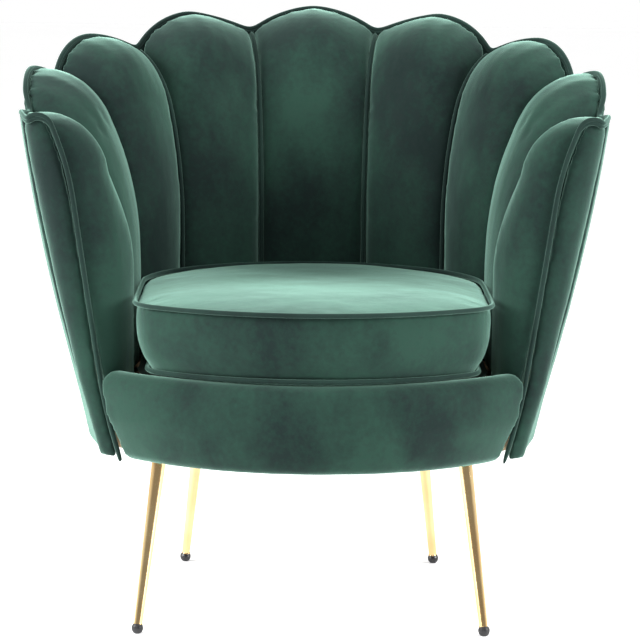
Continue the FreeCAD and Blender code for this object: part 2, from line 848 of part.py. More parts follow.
def rail_bar(a, b):
    t = 8.0
    tall = 20.0
    along = b - a
    flat = V(along.x, along.y, 0).normalize()
    side = V(-flat.y, flat.x, 0)
    mid = (a + b) * 0.5
    if side.dot(V(mid.x, mid.y, 0)) < 0:
        side = side * -1
    pts = [a - side * t, a, a + V(0, 0, tall), a - side * t + V(0, 0, tall)]
    face = Part.Face(Part.makePolygon(pts + pts[:1]))
    return face.extrude(along)


heads = []
for v in (0.5, 1.5, 2.5, 3.5):
    s = Station(int(v + 0.5), 0.0)
    heads.append(s.at(s.outer(s.top - 60) - 10.2, s.top - 70))
heads.append(arm.at(arm.outer(arm.top - 70) - 10.2, arm.top - 84))
bars = []
for a, b in zip(heads, heads[1:]):
    cut = (b - a).normalize() * 1.0
    bars.append(rail_bar(a + cut, b - cut))
bars += [mirror_x(bar) for bar in bars]
bars.append(rail_bar(V(-heads[0].x + 1, heads[0].y, heads[0].z), V(heads[0].x - 1, heads[0].y, heads[0].z)))
for p in posts:
    bars = [bar.cut(p) if bar.BoundBox.intersect(p.BoundBox) else bar for bar in bars]
feature("top_rails", Part.makeCompound([solid for bar in bars for solid in bar.Solids]))

# Webbing: five straps front to back and four across, on the seat ring.

body = new_body("seat_webbing")
top_of_ring = "Sheet.seat_ring_z + Sheet.board_thick"
long_straps = new_sketch(body, "webbing_long", "XY_Plane", top_of_ring)
for x in (-160, -80, 0, 80, 160):
    reach = math.sqrt(262.0 ** 2 - x * x)
    front = math.sqrt(292.0 ** 2 - x * x)
    rectangle(long_straps, x, (reach - front) / 2, g("webbing_wide"), reach + front)
pad(body, long_straps, "webbing_long_pad", "Sheet.webbing_thick")
cross_straps = new_sketch(body, "webbing_cross", "XY_Plane", top_of_ring + " + Sheet.webbing_thick")
for y in (-180, -90, 0, 90, 180):
    reach = math.sqrt(262.0 ** 2 - y * y)
    rectangle(cross_straps, 0, y, 2 * reach, g("webbing_wide"))
pad(body, cross_straps, "webbing_cross_pad", "Sheet.webbing_thick")
place(body)
keep(body, "seat_webbing")

# Seat deck: padding and its cloth.


def deck_outline(sketch):
    back = g("cushion_half") - 2.5
    bow = 296.0
    yc = g("rail_centre")
    reach = 36.0
    a = math.radians(reach)
    tip = V(bow * math.sin(a), yc - bow * math.cos(a), 0)
    mid = V(233, -180, 0)
    side = V(back, -110, 0)

    def m(p):
        return V(-p.x, p.y, 0)

    rear = V(back, 0, 0)
    sketch.addGeometry(Part.Arc(m(rear), V(0, back, 0), rear), False)
    sketch.addGeometry(Part.LineSegment(rear, side), False)
    sketch.addGeometry(Part.Arc(side, mid, tip), False)
    sketch.addGeometry(Part.Arc(tip, V(0, yc - bow, 0), m(tip)), False)
    sketch.addGeometry(Part.Arc(m(tip), m(mid), m(side)), False)
    sketch.addGeometry(Part.LineSegment(m(side), m(rear)), False)


deck_z = top_of_ring + " + 2 * Sheet.webbing_thick + 0.3"
body = new_body("deck_pad")
sketch = new_sketch(body, "deck_pad_outline", "XY_Plane", deck_z)
deck_outline(sketch)
pad(body, sketch, "deck_pad_pad", "Sheet.deck_pad_thick")
place(body)
keep(body, "deck_pad")

body = new_body("deck_cloth")
sketch = new_sketch(body, "deck_cloth_outline", "XY_Plane", deck_z + " + Sheet.deck_pad_thick")
deck_outline(sketch)
pad(body, sketch, "deck_cloth_pad", "Sheet.deck_cloth_thick")
place(body)
keep(body, "deck_cloth")

# Legs, plates, screws and glides.

LEGS = [
    ("front_left", -g("front_top_x"), g("front_top_y"), -g("front_foot_x"), g("front_foot_y")),
    ("front_right", g("front_top_x"), g("front_top_y"), g("front_foot_x"), g("front_foot_y")),
    ("rear_left", -g("rear_top_x"), g("rear_top_y"), -g("rear_foot_x"), g("rear_foot_y")),
    ("rear_right", g("rear_top_x"), g("rear_top_y"), g("rear_foot_x"), g("rear_foot_y")),
]


def leg_axis(tx, ty, fx, fy):
    foot = V(fx, fy, 0)
    top = V(tx, ty, g("leg_top_z"))
    return foot, (top - foot).normalize()


def turn_to(direction):
    return FreeCAD.Rotation(V(0, 0, 1), direction)


def cone(foot, along, less):
    # From a circle square to the leg's axis at the foot to a level ellipse at the top.
    slope = along.z
    heading = math.degrees(math.atan2(along.y, along.x))
    lean = math.degrees(math.acos(slope))
    bottom = Part.Circle(V(0, 0, 0), V(0, 0, 1), g("leg_foot_radius") - less).toShape()
    bottom.rotate(V(0, 0, 0), V(0, 1, 0), lean)
    radius = g("leg_top_radius") - less
    top = Part.Ellipse(V(0, 0, 0), radius / slope, radius).toShape()
    for edge, height in ((bottom, g("leg_foot_z")), (top, g("leg_top_z"))):
        edge.rotate(V(0, 0, 0), V(0, 0, 1), heading)
        edge.translate(foot + along * (height / slope))
    return loft([Part.Wire([bottom]), Part.Wire([top])])


screws = []
for name, tx, ty, fx, fy in LEGS:
    foot, along = leg_axis(tx, ty, fx, fy)
    slope = along.z
    # tapered tube
    feature("leg_" + name, cone(foot, along, 0.0).cut(cone(foot, along, g("leg_wall"))))
    # mounting plate
    turn = math.degrees(math.atan2(ty, tx))
    plate = new_body("leg_plate_" + name)
    sketch = new_sketch(plate, "plate_outline_" + name)
    side = g("plate_side")
    rectangle(sketch, 0, 0, side, side)
    off = g("plate_hole_offset")
    for sx in (-1, 1):
        for sy in (-1, 1):
            circle(sketch, g("plate_hole") / 2, "Sheet.plate_hole / 2", sx * off, sy * off)
            c = math.cos(math.radians(turn))
            n = math.sin(math.radians(turn))
            px = tx + sx * off * c - sy * off * n
            py = ty + sx * off * n + sy * off * c
            base = g("leg_top_z") - 2.2
            corners = [V(px + 4.6 * math.cos(i * math.pi / 3), py + 4.6 * math.sin(i * math.pi / 3), base)
                       for i in range(6)]
            head = Part.Face(Part.makePolygon(corners + corners[:1])).extrude(V(0, 0, 2.2))
            shank = Part.makeCylinder(2.1, 20, V(px, py, base + 2.2), V(0, 0, 1))
            screws.append(head.fuse(shank))
    pad(plate, sketch, "plate_pad_" + name, "Sheet.plate_thick")
    place(plate, tx, ty, g("leg_top_z") + 0.05, FreeCAD.Rotation(V(0, 0, 1), turn))
    keep(plate, "leg_plate_" + name)
    # glide: a stem in the tube, a collar and a flattened ball, cut level at the floor
    glide = new_body("glide_ball_" + name)
    sketch = new_sketch(glide, "glide_section_" + name, "XZ_Plane")
    top = g("leg_foot_z") / slope - 0.1
    stem = g("glide_stem")
    ball = g("glide_radius")
    a = V(0, -4, 0)
    b = V(0, top + 14, 0)
    c = V(stem, top + 14, 0)
    d = V(stem, top, 0)
    e = V(ball - 1.6, top, 0)
    f = V(ball, top - 3.2, 0)
    low = V(0, -1.2, 0)
    low_mid = V(ball * 0.80, (top - 3.2) * 0.26, 0)
    geometry = [
        Part.LineSegment(low, b),
        Part.LineSegment(b, c),
        Part.LineSegment(c, d),
        Part.LineSegment(d, e),
        Part.LineSegment(e, f),
        Part.Arc(f, low_mid, low),
    ]
    for item in geometry:
        sketch.addGeometry(item, False)
    spin = glide.newObject("PartDesign::Revolution", "glide_spin_" + name)
    spin.Profile = sketch
    spin.ReferenceAxis = (sketch, ["V_Axis"])
    spin.Angle = 360
    place(glide, foot.x, foot.y, 0, turn_to(along))
    floor = doc.addObject("Part::Box", "floor_" + name)
    floor.Length = 60
    floor.Width = 60
    floor.Height = 20
    place(floor, foot.x - 30, foot.y - 30, -20)
    cut = doc.addObject("Part::Cut", "glide_" + name)
    cut.Base = glide
    cut.Tool = floor
    keep(cut, "glide_" + name)

feature("leg_screws", Part.makeCompound(screws))

# Dust cloth under the seat, cut out round the plates.

body = new_body("dust_cloth")
sketch = new_sketch(body, "dust_cloth_outline", "XY_Plane", "Sheet.base_ring_z - Sheet.dust_cloth_thick - 0.1")
tub_outline(sketch, g("base_radius") - 30, g("rail_radius") - 28)
pad(body, sketch, "dust_cloth_pad", "Sheet.dust_cloth_thick")
doc.recompute()
full = body.Shape.Volume
sketch = new_sketch(body, "dust_cloth_openings", "XY_Plane", "Sheet.base_ring_z")
for name, tx, ty, fx, fy in LEGS:
    rectangle(sketch, tx, ty, g("plate_side") + 6, g("plate_side") + 6, math.degrees(math.atan2(ty, tx)))
openings = body.newObject("PartDesign::Pocket", "dust_cloth_cuts")
openings.Profile = sketch
openings.Length = 5
doc.recompute()
if body.Shape.Volume >= full - 1:
    raise RuntimeError("dust cloth openings cut nothing")
place(body)
keep(body, "dust_cloth")

doc.recompute()

# Checks, then one file for each piece.

bad = []
for obj in doc.Objects:
    if "Invalid" in obj.State or "Error" in obj.State:
        bad.append("%s: %s" % (obj.Name, obj.State))
labels = set()
box = FreeCAD.BoundBox()
for obj in NODES:
    shape = obj.Shape
    if shape.isNull() or not shape.isValid() or shape.Volume <= 0:
        bad.append("%s: shape" % obj.Label)
    if obj.Label in labels:
        bad.append("%s: label used twice" % obj.Label)
    labels.add(obj.Label)
    box.add(shape.BoundBox)
print("nodes", len(NODES))
print("box", [round(n, 2) for n in (box.XMin, box.YMin, box.ZMin, box.XMax, box.YMax, box.ZMax)])
if bad:
    raise RuntimeError("; ".join(bad))
os.makedirs("parts", exist_ok=True)
for obj in NODES:
    obj.Shape.exportStep("parts/%s.step" % obj.Label)
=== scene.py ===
# %% [markdown]
# # A scallop back tub chair in green velvet
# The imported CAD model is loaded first. It is the fixed frame: every soft piece below starts from the
# solid that stands in its place, so nothing has to be fitted by eye.

# %% Load the frame
import json
import math

import bpy
import numpy as np
from mathutils import Matrix, Vector

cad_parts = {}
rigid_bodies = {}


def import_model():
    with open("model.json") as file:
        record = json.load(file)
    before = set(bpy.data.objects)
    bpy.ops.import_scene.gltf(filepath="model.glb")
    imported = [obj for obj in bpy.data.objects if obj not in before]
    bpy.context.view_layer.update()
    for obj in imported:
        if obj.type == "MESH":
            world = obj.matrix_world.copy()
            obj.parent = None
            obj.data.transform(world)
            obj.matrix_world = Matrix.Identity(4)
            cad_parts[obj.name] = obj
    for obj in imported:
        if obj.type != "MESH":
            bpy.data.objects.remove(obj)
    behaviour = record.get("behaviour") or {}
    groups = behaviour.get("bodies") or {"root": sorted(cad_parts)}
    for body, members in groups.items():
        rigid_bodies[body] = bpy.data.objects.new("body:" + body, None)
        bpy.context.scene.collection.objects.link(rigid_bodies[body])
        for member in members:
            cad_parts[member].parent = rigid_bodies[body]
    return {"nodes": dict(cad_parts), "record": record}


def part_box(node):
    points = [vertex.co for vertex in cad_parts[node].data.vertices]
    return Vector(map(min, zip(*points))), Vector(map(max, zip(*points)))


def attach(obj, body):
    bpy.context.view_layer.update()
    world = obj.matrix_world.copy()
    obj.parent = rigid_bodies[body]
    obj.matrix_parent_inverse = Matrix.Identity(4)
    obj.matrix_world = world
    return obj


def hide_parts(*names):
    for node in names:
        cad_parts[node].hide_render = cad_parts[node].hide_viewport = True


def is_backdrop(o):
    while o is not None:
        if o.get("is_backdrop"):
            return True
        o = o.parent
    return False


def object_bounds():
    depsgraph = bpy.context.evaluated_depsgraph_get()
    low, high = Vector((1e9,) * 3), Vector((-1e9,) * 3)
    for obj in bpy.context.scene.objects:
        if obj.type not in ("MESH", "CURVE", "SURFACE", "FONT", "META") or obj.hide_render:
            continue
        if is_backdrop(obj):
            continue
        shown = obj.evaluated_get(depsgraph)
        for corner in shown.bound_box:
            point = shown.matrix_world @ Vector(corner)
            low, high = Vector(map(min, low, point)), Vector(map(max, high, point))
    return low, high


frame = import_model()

cad_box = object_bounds()
nodes = frame["nodes"]
scene = bpy.context.scene
MM = 0.001
print("nodes", len(nodes), "box", [round(c, 3) for corner in cad_box for c in corner])

# %% [markdown]
# ## Camera
# The photograph was taken from straight in front, a little above the back, with a long lens. A long lens
# far away keeps the legs and the back nearly the same size. The place and the turn were worked out from
# where the feet, the seat and the arm tops lie in the picture.

# %% Camera
CAMERA_PLACE = Vector((-29.8, -4544.7, 1005.4)) * MM
CAMERA_YAW = math.radians(0.513)
CAMERA_DOWN = math.radians(7.62)
CAMERA_ROLL = math.radians(0.571)
CAMERA_LENS = 179.36
SENSOR = 36.0


def camera_axes():
    ahead = Vector((math.sin(CAMERA_YAW) * math.cos(CAMERA_DOWN),
                    math.cos(CAMERA_YAW) * math.cos(CAMERA_DOWN), -math.sin(CAMERA_DOWN)))
    level = Vector((math.cos(CAMERA_YAW), -math.sin(CAMERA_YAW), 0.0))
    above = level.cross(ahead)
    right = level * math.cos(CAMERA_ROLL) + above * math.sin(CAMERA_ROLL)
    up = above * math.cos(CAMERA_ROLL) - level * math.sin(CAMERA_ROLL)
    return right, up, -ahead


bpy.ops.object.camera_add(location=CAMERA_PLACE)
camera = bpy.context.object
turn = Matrix(camera_axes()).transposed().to_4x4()
camera.matrix_world = Matrix.Translation(CAMERA_PLACE) @ turn
camera.data.sensor_width = SENSOR
camera.data.lens = CAMERA_LENS
camera.data.clip_end = 60.0
scene.camera = camera
print("camera", [round(c, 3) for c in camera.location])

# %% [markdown]
# ## Floor and light
# A product picture on white: a pale floor, a white surround, and large soft lamps. Velvet shows its pile
# only where light grazes it, so the strongest lamps stand to the sides. The floor glows faintly, which
# keeps it as white as the surround.

# %% Floor and light
SURROUND = 1.0
BEHIND_CAMERA = 0.30
LAMPS = [
    ("lamp_top", (0.0, -0.3, 3.0), (0.0, 0.0, 0.5), 2.0, 26.0),
    ("lamp_left", (-2.7, -0.9, 1.7), (0.0, 0.0, 0.5), 1.4, 150.0),
    ("lamp_right", (2.7, -1.1, 1.6), (0.0, 0.0, 0.5), 1.4, 125.0),
    ("lamp_front", (-0.9, -3.8, 2.2), (0.0, 0.0, 0.4), 1.6, 34.0),
]

bpy.ops.mesh.primitive_plane_add(size=40.0, location=(0, 0, 0))
floor = bpy.context.object
floor.name = "studio_floor"
floor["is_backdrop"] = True
for name, place, aim, size, power in LAMPS:
    bpy.ops.object.light_add(type="AREA", location=place)
    lamp = bpy.context.object
    lamp.name = name
    lamp.data.size = size
    lamp.data.energy = power
    lamp.rotation_euler = (Vector(aim) - Vector(place)).to_track_quat("-Z", "Y").to_euler()
world = bpy.data.worlds.new("studio_surround")
scene.world = world
world.use_nodes = True
# The surround is white behind the chair and grey behind the camera, so that bright metal has something
# dark to mirror and the velvet keeps its shadows.
sky = world.node_tree
way = sky.nodes.new("ShaderNodeTexCoord")
split = sky.nodes.new("ShaderNodeSeparateXYZ")
spread = sky.nodes.new("ShaderNodeMapRange")
spread.inputs["From Min"].default_value = -0.75
spread.inputs["From Max"].default_value = 0.05
spread.inputs["To Min"].default_value = BEHIND_CAMERA
spread.inputs["To Max"].default_value = SURROUND
sky.links.new(way.outputs["Generated"], split.inputs["Vector"])
sky.links.new(split.outputs["Y"], spread.inputs["Value"])
sky.nodes["Background"].inputs["Color"].default_value = (1.0, 1.0, 1.0, 1.0)
sky.links.new(spread.outputs["Result"], sky.nodes["Background"].inputs["Strength"])
scene.view_settings.view_transform = "Standard"
print("lamps", len(LAMPS))

# %% [markdown]
# ## Materials
# Each finish is a small node graph on object coordinates. The helper below makes the graph's usual
# parts, so that each material reads as a short recipe.

# %% Material helpers


def new_material(name):
    material = bpy.data.materials.new(name)
    material.use_nodes = True
    return material, material.node_tree, material.node_tree.nodes["Principled BSDF"]


def object_coordinates(tree, stretch=(1.0, 1.0, 1.0)):
    place = tree.nodes.new("ShaderNodeTexCoord")
    scale = tree.nodes.new("ShaderNodeMapping")
    scale.inputs["Scale"].default_value = stretch
    tree.links.new(place.outputs["Object"], scale.inputs["Vector"])
    return scale.outputs["Vector"]


def noise(tree, vector, scale, detail=3.0, rough=0.5):
    node = tree.nodes.new("ShaderNodeTexNoise")
    node.inputs["Scale"].default_value = scale
    node.inputs["Detail"].default_value = detail
    node.inputs["Roughness"].default_value = rough
    tree.links.new(vector, node.inputs["Vector"])
    return node.outputs["Fac"]


def ramp(tree, fac, stops):
    node = tree.nodes.new("ShaderNodeValToRGB")
    bar = node.color_ramp
    while len(bar.elements) < len(stops):
        bar.elements.new(0.5)
    for element, (at, colour) in zip(bar.elements, stops):
        element.position = at
        element.color = (*colour, 1.0)
    tree.links.new(fac, node.inputs["Fac"])
    return node.outputs["Color"]


def bump(tree, height, distance, strength, below=None):
    node = tree.nodes.new("ShaderNodeBump")
    node.inputs["Distance"].default_value = distance
    node.inputs["Strength"].default_value = strength
    tree.links.new(height, node.inputs["Height"])
    if below:
        tree.links.new(below, node.inputs["Normal"])
    return node.outputs["Normal"]


def maths(tree, kind, one, two):
    node = tree.nodes.new("ShaderNodeMath")
    node.operation = kind
    for socket, value in zip(node.inputs, (one, two)):
        if isinstance(value, float):
            socket.default_value = value
        else:
            tree.links.new(value, socket)
    return node.outputs[0]


# %% [markdown]
# ### Velvet
# Velvet is a dense upright pile. It is dark when seen along the fibres and pale where they are seen from
# the side. The shader's sheen does this. Stroked patches, where the pile lies over, are soft clouds in
# the base colour, and the pile itself is a very fine bump.

# %% Velvet


def velvet(name, dark, light, sheen_tint, sheen=1.0):
    material, tree, shader = new_material(name)
    vector = object_coordinates(tree)
    patches = noise(tree, object_coordinates(tree, (1.0, 1.0, 0.6)), 7.0, 4.0, 0.55)
    mottle = noise(tree, vector, 130.0, 5.0, 0.65)
    mixed = maths(tree, "ADD", maths(tree, "MULTIPLY", patches, 0.72), maths(tree, "MULTIPLY", mottle, 0.28))
    colour = ramp(tree, mixed, [(0.41, dark), (0.60, light)])
    tree.links.new(colour, shader.inputs["Base Color"])
    pile = noise(tree, vector, 1600.0, 2.0, 0.6)
    lay = noise(tree, object_coordinates(tree, (1.0, 1.0, 0.35)), 75.0, 3.0, 0.5)
    soft = bump(tree, lay, 0.0012, 0.22)
    tree.links.new(bump(tree, pile, 0.0004, 0.30, soft), shader.inputs["Normal"])
    rough = ramp(tree, mottle, [(0.3, (0.78, 0.78, 0.78)), (0.7, (0.95, 0.95, 0.95))])
    tree.links.new(rough, shader.inputs["Roughness"])
    shader.inputs["Specular IOR Level"].default_value = 0.18
    shader.inputs["Sheen Weight"].default_value = sheen
    shader.inputs["Sheen Roughness"].default_value = 0.36
    shader.inputs["Sheen Tint"].default_value = (*sheen_tint, 1.0)
    return material


GREEN_DARK = (0.0035, 0.0115, 0.0105)
GREEN_LIGHT = (0.0120, 0.0400, 0.0280)
CORD_DARK = (0.004, 0.013, 0.011)
CORD_LIGHT = (0.010, 0.028, 0.022)
CORD_SHEEN = 0.7
PILE_TINT = (0.40, 0.70, 0.58)
velvet_green = velvet("green_velvet", GREEN_DARK, GREEN_LIGHT, PILE_TINT)
velvet_cord = velvet("green_velvet_piping", CORD_DARK, CORD_LIGHT, PILE_TINT, CORD_SHEEN)
print("velvet", velvet_green.name, velvet_cord.name)

# %% [markdown]
# ### Gold tube
# The legs are thin tube with a bright plated finish. Metal takes its colour from what it mirrors, so the
# base is a pale gold and the roughness low, broken by faint drawn lines along the tube.

# %% Metals and plastic


def plated(name, colour, deep, low_rough, high_rough):
    material, tree, shader = new_material(name)
    vector = object_coordinates(tree, (1.0, 1.0, 0.04))
    drawn = noise(tree, vector, 420.0, 3.0, 0.6)
    tone = noise(tree, object_coordinates(tree), 14.0, 2.0, 0.5)
    tree.links.new(ramp(tree, tone, [(0.35, deep), (0.65, colour)]), shader.inputs["Base Color"])
    grey = [(low_rough,) * 3, (high_rough,) * 3]
    tree.links.new(ramp(tree, drawn, [(0.3, grey[0]), (0.7, grey[1])]), shader.inputs["Roughness"])
    tree.links.new(bump(tree, drawn, 0.0002, 0.06), shader.inputs["Normal"])
    shader.inputs["Metallic"].default_value = 1.0
    return material


def moulded(name, colour, worn, rough):
    material, tree, shader = new_material(name)
    vector = object_coordinates(tree)
    grain = noise(tree, vector, 900.0, 3.0, 0.6)
    tone = noise(tree, vector, 60.0, 3.0, 0.5)
    tree.links.new(ramp(tree, tone, [(0.35, colour), (0.7, worn)]), shader.inputs["Base Color"])
    tree.links.new(bump(tree, grain, 0.0003, 0.12), shader.inputs["Normal"])
    shader.inputs["Roughness"].default_value = rough
    shader.inputs["Specular IOR Level"].default_value = 0.5
    return material


gold = plated("pale_gold_plate", (0.93, 0.70, 0.37), (0.84, 0.57, 0.27), 0.05, 0.13)
steel = plated("zinc_plate", (0.60, 0.60, 0.58), (0.46, 0.46, 0.45), 0.25, 0.42)
black_glide = moulded("black_glide", (0.008, 0.008, 0.009), (0.016, 0.016, 0.018), 0.32)

# %% [markdown]
# ### Hidden materials
# Nobody sees the plywood, webbing and foam until the chair is opened, but each still gets its own
# finish: plies as thin bands, webbing as a weave, foam as small cells and the dust cloth as pressed fibre.

# %% Inside materials


def banded(name, one, two, scale, stretch, rough, depth):
    material, tree, shader = new_material(name)
    wave = tree.nodes.new("ShaderNodeTexWave")
    wave.inputs["Scale"].default_value = scale
    wave.inputs["Distortion"].default_value = 2.2
    wave.inputs["Detail"].default_value = 3.0
    wave.bands_direction = "Z"
    tree.links.new(object_coordinates(tree, stretch), wave.inputs["Vector"])
    tree.links.new(ramp(tree, wave.outputs["Fac"], [(0.3, one), (0.7, two)]), shader.inputs["Base Color"])
    tree.links.new(bump(tree, wave.outputs["Fac"], depth, 0.3), shader.inputs["Normal"])
    shader.inputs["Roughness"].default_value = rough
    return material


def woven(name, one, two, scale, depth):
    material, tree, shader = new_material(name)
    vector = object_coordinates(tree)
    check = tree.nodes.new("ShaderNodeTexChecker")
    check.inputs["Scale"].default_value = scale
    check.inputs["Color1"].default_value = (*one, 1.0)
    check.inputs["Color2"].default_value = (*two, 1.0)
    tree.links.new(vector, check.inputs["Vector"])
    tree.links.new(check.outputs["Color"], shader.inputs["Base Color"])
    fibre = noise(tree, vector, scale * 2.0, 3.0, 0.6)
    tree.links.new(bump(tree, maths(tree, "ADD", fibre, check.outputs["Fac"]), depth, 0.3),
                   shader.inputs["Normal"])
    shader.inputs["Roughness"].default_value = 0.9
    return material


plywood = banded("birch_plywood", (0.50, 0.34, 0.19), (0.66, 0.49, 0.30), 70.0, (0.1, 0.1, 5.0), 0.62, 0.0003)
webbing = woven("seat_webbing_weave", (0.32, 0.24, 0.15), (0.10, 0.09, 0.08), 420.0, 0.0006)
foam = moulded("seat_foam", (0.74, 0.68, 0.47), (0.82, 0.77, 0.58), 0.95)
deck_weave = woven("deck_weave", (0.012, 0.030, 0.022), (0.020, 0.046, 0.034), 900.0, 0.0003)
dust_felt = woven("dust_cloth_felt", (0.010, 0.010, 0.011), (0.022, 0.022, 0.024), 1300.0, 0.0003)

FINISHES = {
    "plywood": plywood, "webbing": webbing, "foam": foam, "deck_cloth": deck_weave,
    "dust_cloth": dust_felt, "gold_metal": gold, "zinc_steel": steel, "black_plastic": black_glide,
    "velvet": velvet_green, "velvet_piping": velvet_cord,
}
floor_paint, floor_tree, floor_shader = new_material("studio_floor_paint")
floor_shader.inputs["Roughness"].default_value = 0.7
floor_shader.inputs["Emission Color"].default_value = (1.0, 1.0, 1.0, 1.0)
floor_shader.inputs["Emission Strength"].default_value = 0.22
floor_tone = noise(floor_tree, object_coordinates(floor_tree), 2.0, 2.0, 0.5)
floor_tree.links.new(ramp(floor_tree, floor_tone, [(0.3, (0.93, 0.93, 0.93)), (0.7, (0.95, 0.95, 0.95))]),
                     floor_shader.inputs["Base Color"])
floor.data.materials.append(floor_paint)

# %% [markdown]
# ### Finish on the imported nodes
# The record names a material slot for every node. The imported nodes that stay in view, such as the legs
# and the frame, get the finish of their slot.

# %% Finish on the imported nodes


def node_slots():
    slots = {}
    for part in frame["record"]["subparts"]:
        slots[part["node"]] = part["material_slot"]
    return slots


SLOTS = node_slots()
for name, item in nodes.items():
    finish = FINISHES[SLOTS[name]] if name in SLOTS else plywood
    if not item.material_slots:
        item.data.materials.append(finish)
    for place in item.material_slots:
        place.material = finish
print("slots on nodes", len(SLOTS))

# %% [markdown]
# ## Padded pieces
# Every velvet panel is a sewn cover over wadding or foam. By hand one would model a flat panel and sculpt
# it. Here each piece starts as a copy of its own solid, is remeshed into small even squares and then
# blown up by the cloth simulation while its sewn edges are held, which is how padding fills a cover.

# %% Padding helpers
FRAMES = 20
PRESSURE = 4.0
SEAM_HOLD = 5.0 * MM
MERGE = 0.02 * MM


def only(piece):
    bpy.ops.object.select_all(action="DESELECT")
    piece.select_set(True)
    bpy.context.view_layer.objects.active = piece


def copy_of_node(node, name):
    mesh = nodes[node].data.copy()
    mesh.name = name
    mesh.materials.clear()
    piece = bpy.data.objects.new(name, mesh)
    scene.collection.objects.link(piece)
    only(piece)
    bpy.ops.object.mode_set(mode="EDIT")
    bpy.ops.mesh.select_all(action="SELECT")
    bpy.ops.mesh.remove_doubles(threshold=MERGE)
    bpy.ops.mesh.normals_make_consistent(inside=False)
    bpy.ops.object.mode_set(mode="OBJECT")
    return piece


def keep_outer_shell(piece):
    # The cushion cover is hollow. Only its outer skin is kept, picked from its highest point.
    mesh = piece.data
    only(piece)
    bpy.ops.object.mode_set(mode="EDIT")
    bpy.ops.mesh.select_all(action="DESELECT")
    bpy.ops.object.mode_set(mode="OBJECT")
    top = max(mesh.vertices, key=lambda v: v.co.z)
    top.select = True
    bpy.ops.object.mode_set(mode="EDIT")
    bpy.ops.mesh.select_mode(type="VERT")
    bpy.ops.mesh.select_linked()
    bpy.ops.mesh.select_all(action="INVERT")
    bpy.ops.mesh.delete(type="VERT")
    bpy.ops.object.mode_set(mode="OBJECT")


def apply(piece, kind, **values):
    only(piece)
    modifier = piece.modifiers.new(kind.lower(), kind)
    for key, value in values.items():
        setattr(modifier, key, value)
    bpy.ops.object.modifier_apply(modifier=modifier.name)


def points_of(piece):
    flat = np.empty(len(piece.data.vertices) * 3)
    piece.data.vertices.foreach_get("co", flat)
    return flat.reshape(-1, 3)


def move_points(piece, points):
    piece.data.vertices.foreach_set("co", points.ravel())
    piece.data.update()


def fatten(piece, by):
    only(piece)
    bpy.ops.object.mode_set(mode="EDIT")
    bpy.ops.mesh.select_all(action="SELECT")
    bpy.ops.transform.shrink_fatten(value=by)
    bpy.ops.object.mode_set(mode="OBJECT")


def remeshed(node, name, voxel, smooth, outer=False):
    piece = copy_of_node(node, name)
    if outer:
        keep_outer_shell(piece)
    apply(piece, "REMESH", mode="VOXEL", voxel_size=voxel)
    if smooth:
        apply(piece, "SMOOTH", factor=0.5, iterations=smooth)
    return piece


def inflate(piece, free_way, cap, edge=0.25, seams=()):
    # Points that face free_way may rise. The others are held, as a sewn or tacked edge is.
    start = points_of(piece)
    way = Vector(free_way).normalized()
    held = piece.vertex_groups.new(name="held")
    for vertex in piece.data.vertices:
        facing = vertex.normal.dot(way)
        weight = min(max((edge - facing) / 0.3 + 0.5, 0.0), 1.0)
        if vertex.normal.z < 0.75 and any(abs(vertex.co.z - seam) < SEAM_HOLD for seam in seams):
            weight = 1.0
        if weight > 0.0:
            held.add([vertex.index], weight, "REPLACE")
    only(piece)
    cloth = piece.modifiers.new("cloth", "CLOTH")
    cloth.settings.use_pressure = True
    cloth.settings.uniform_pressure_force = PRESSURE
    cloth.settings.vertex_group_mass = "held"
    cloth.settings.effector_weights.gravity = 0.0
    cloth.settings.quality = 4
    cloth.collision_settings.use_collision = False
    for number in range(1, FRAMES + 1):
        scene.frame_set(number)
    bpy.ops.object.modifier_apply(modifier="cloth")
    scene.frame_set(1)
    moved = points_of(piece) - start
    length = np.linalg.norm(moved, axis=1, keepdims=True)
    length[length == 0] = 1e-9
    move_points(piece, start + moved * (cap * np.tanh(length / cap) / length))
    piece.vertex_groups.clear()
    print(piece.name, "points", len(start), "rise mm", round(float(length.max()) / MM, 1))


def soften(piece, levels=1):
    only(piece)
    if levels:
        apply(piece, "SUBSURF", levels=levels, render_levels=levels)
    bpy.ops.object.shade_smooth()


def unevenness(piece, size, strength):
    # Wadding is never quite even. A cloud pattern moves the surface by well under a millimetre.
    clouds = bpy.data.textures.new(piece.name + "_clouds", "CLOUDS")
    clouds.noise_scale = size
    apply(piece, "DISPLACE", texture=clouds, texture_coords="LOCAL", strength=strength, mid_level=0.5)


def mirrored(piece, name):
    twin = piece.copy()
    twin.data = piece.data.copy()
    twin.name = name
    twin.data.name = name
    scene.collection.objects.link(twin)
    points = points_of(twin)
    points[:, 0] *= -1
    move_points(twin, points)
    twin.data.flip_normals()
    return twin


def dress(piece, node, body, slot):
    piece.data.materials.clear()
    piece.data.materials.append(FINISHES[slot])
    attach(piece, body)
    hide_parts(node)


# %% [markdown]
# ## The nine petals
# Each petal is its own stuffed cover, held by the two seams beside it, by the rim and by the tacking
# strip behind the cushion. Only its face is free to rise. The five petals from the middle to the right arm
# are simulated, and the other four are their mirrored twins, because the chair is made symmetrical.

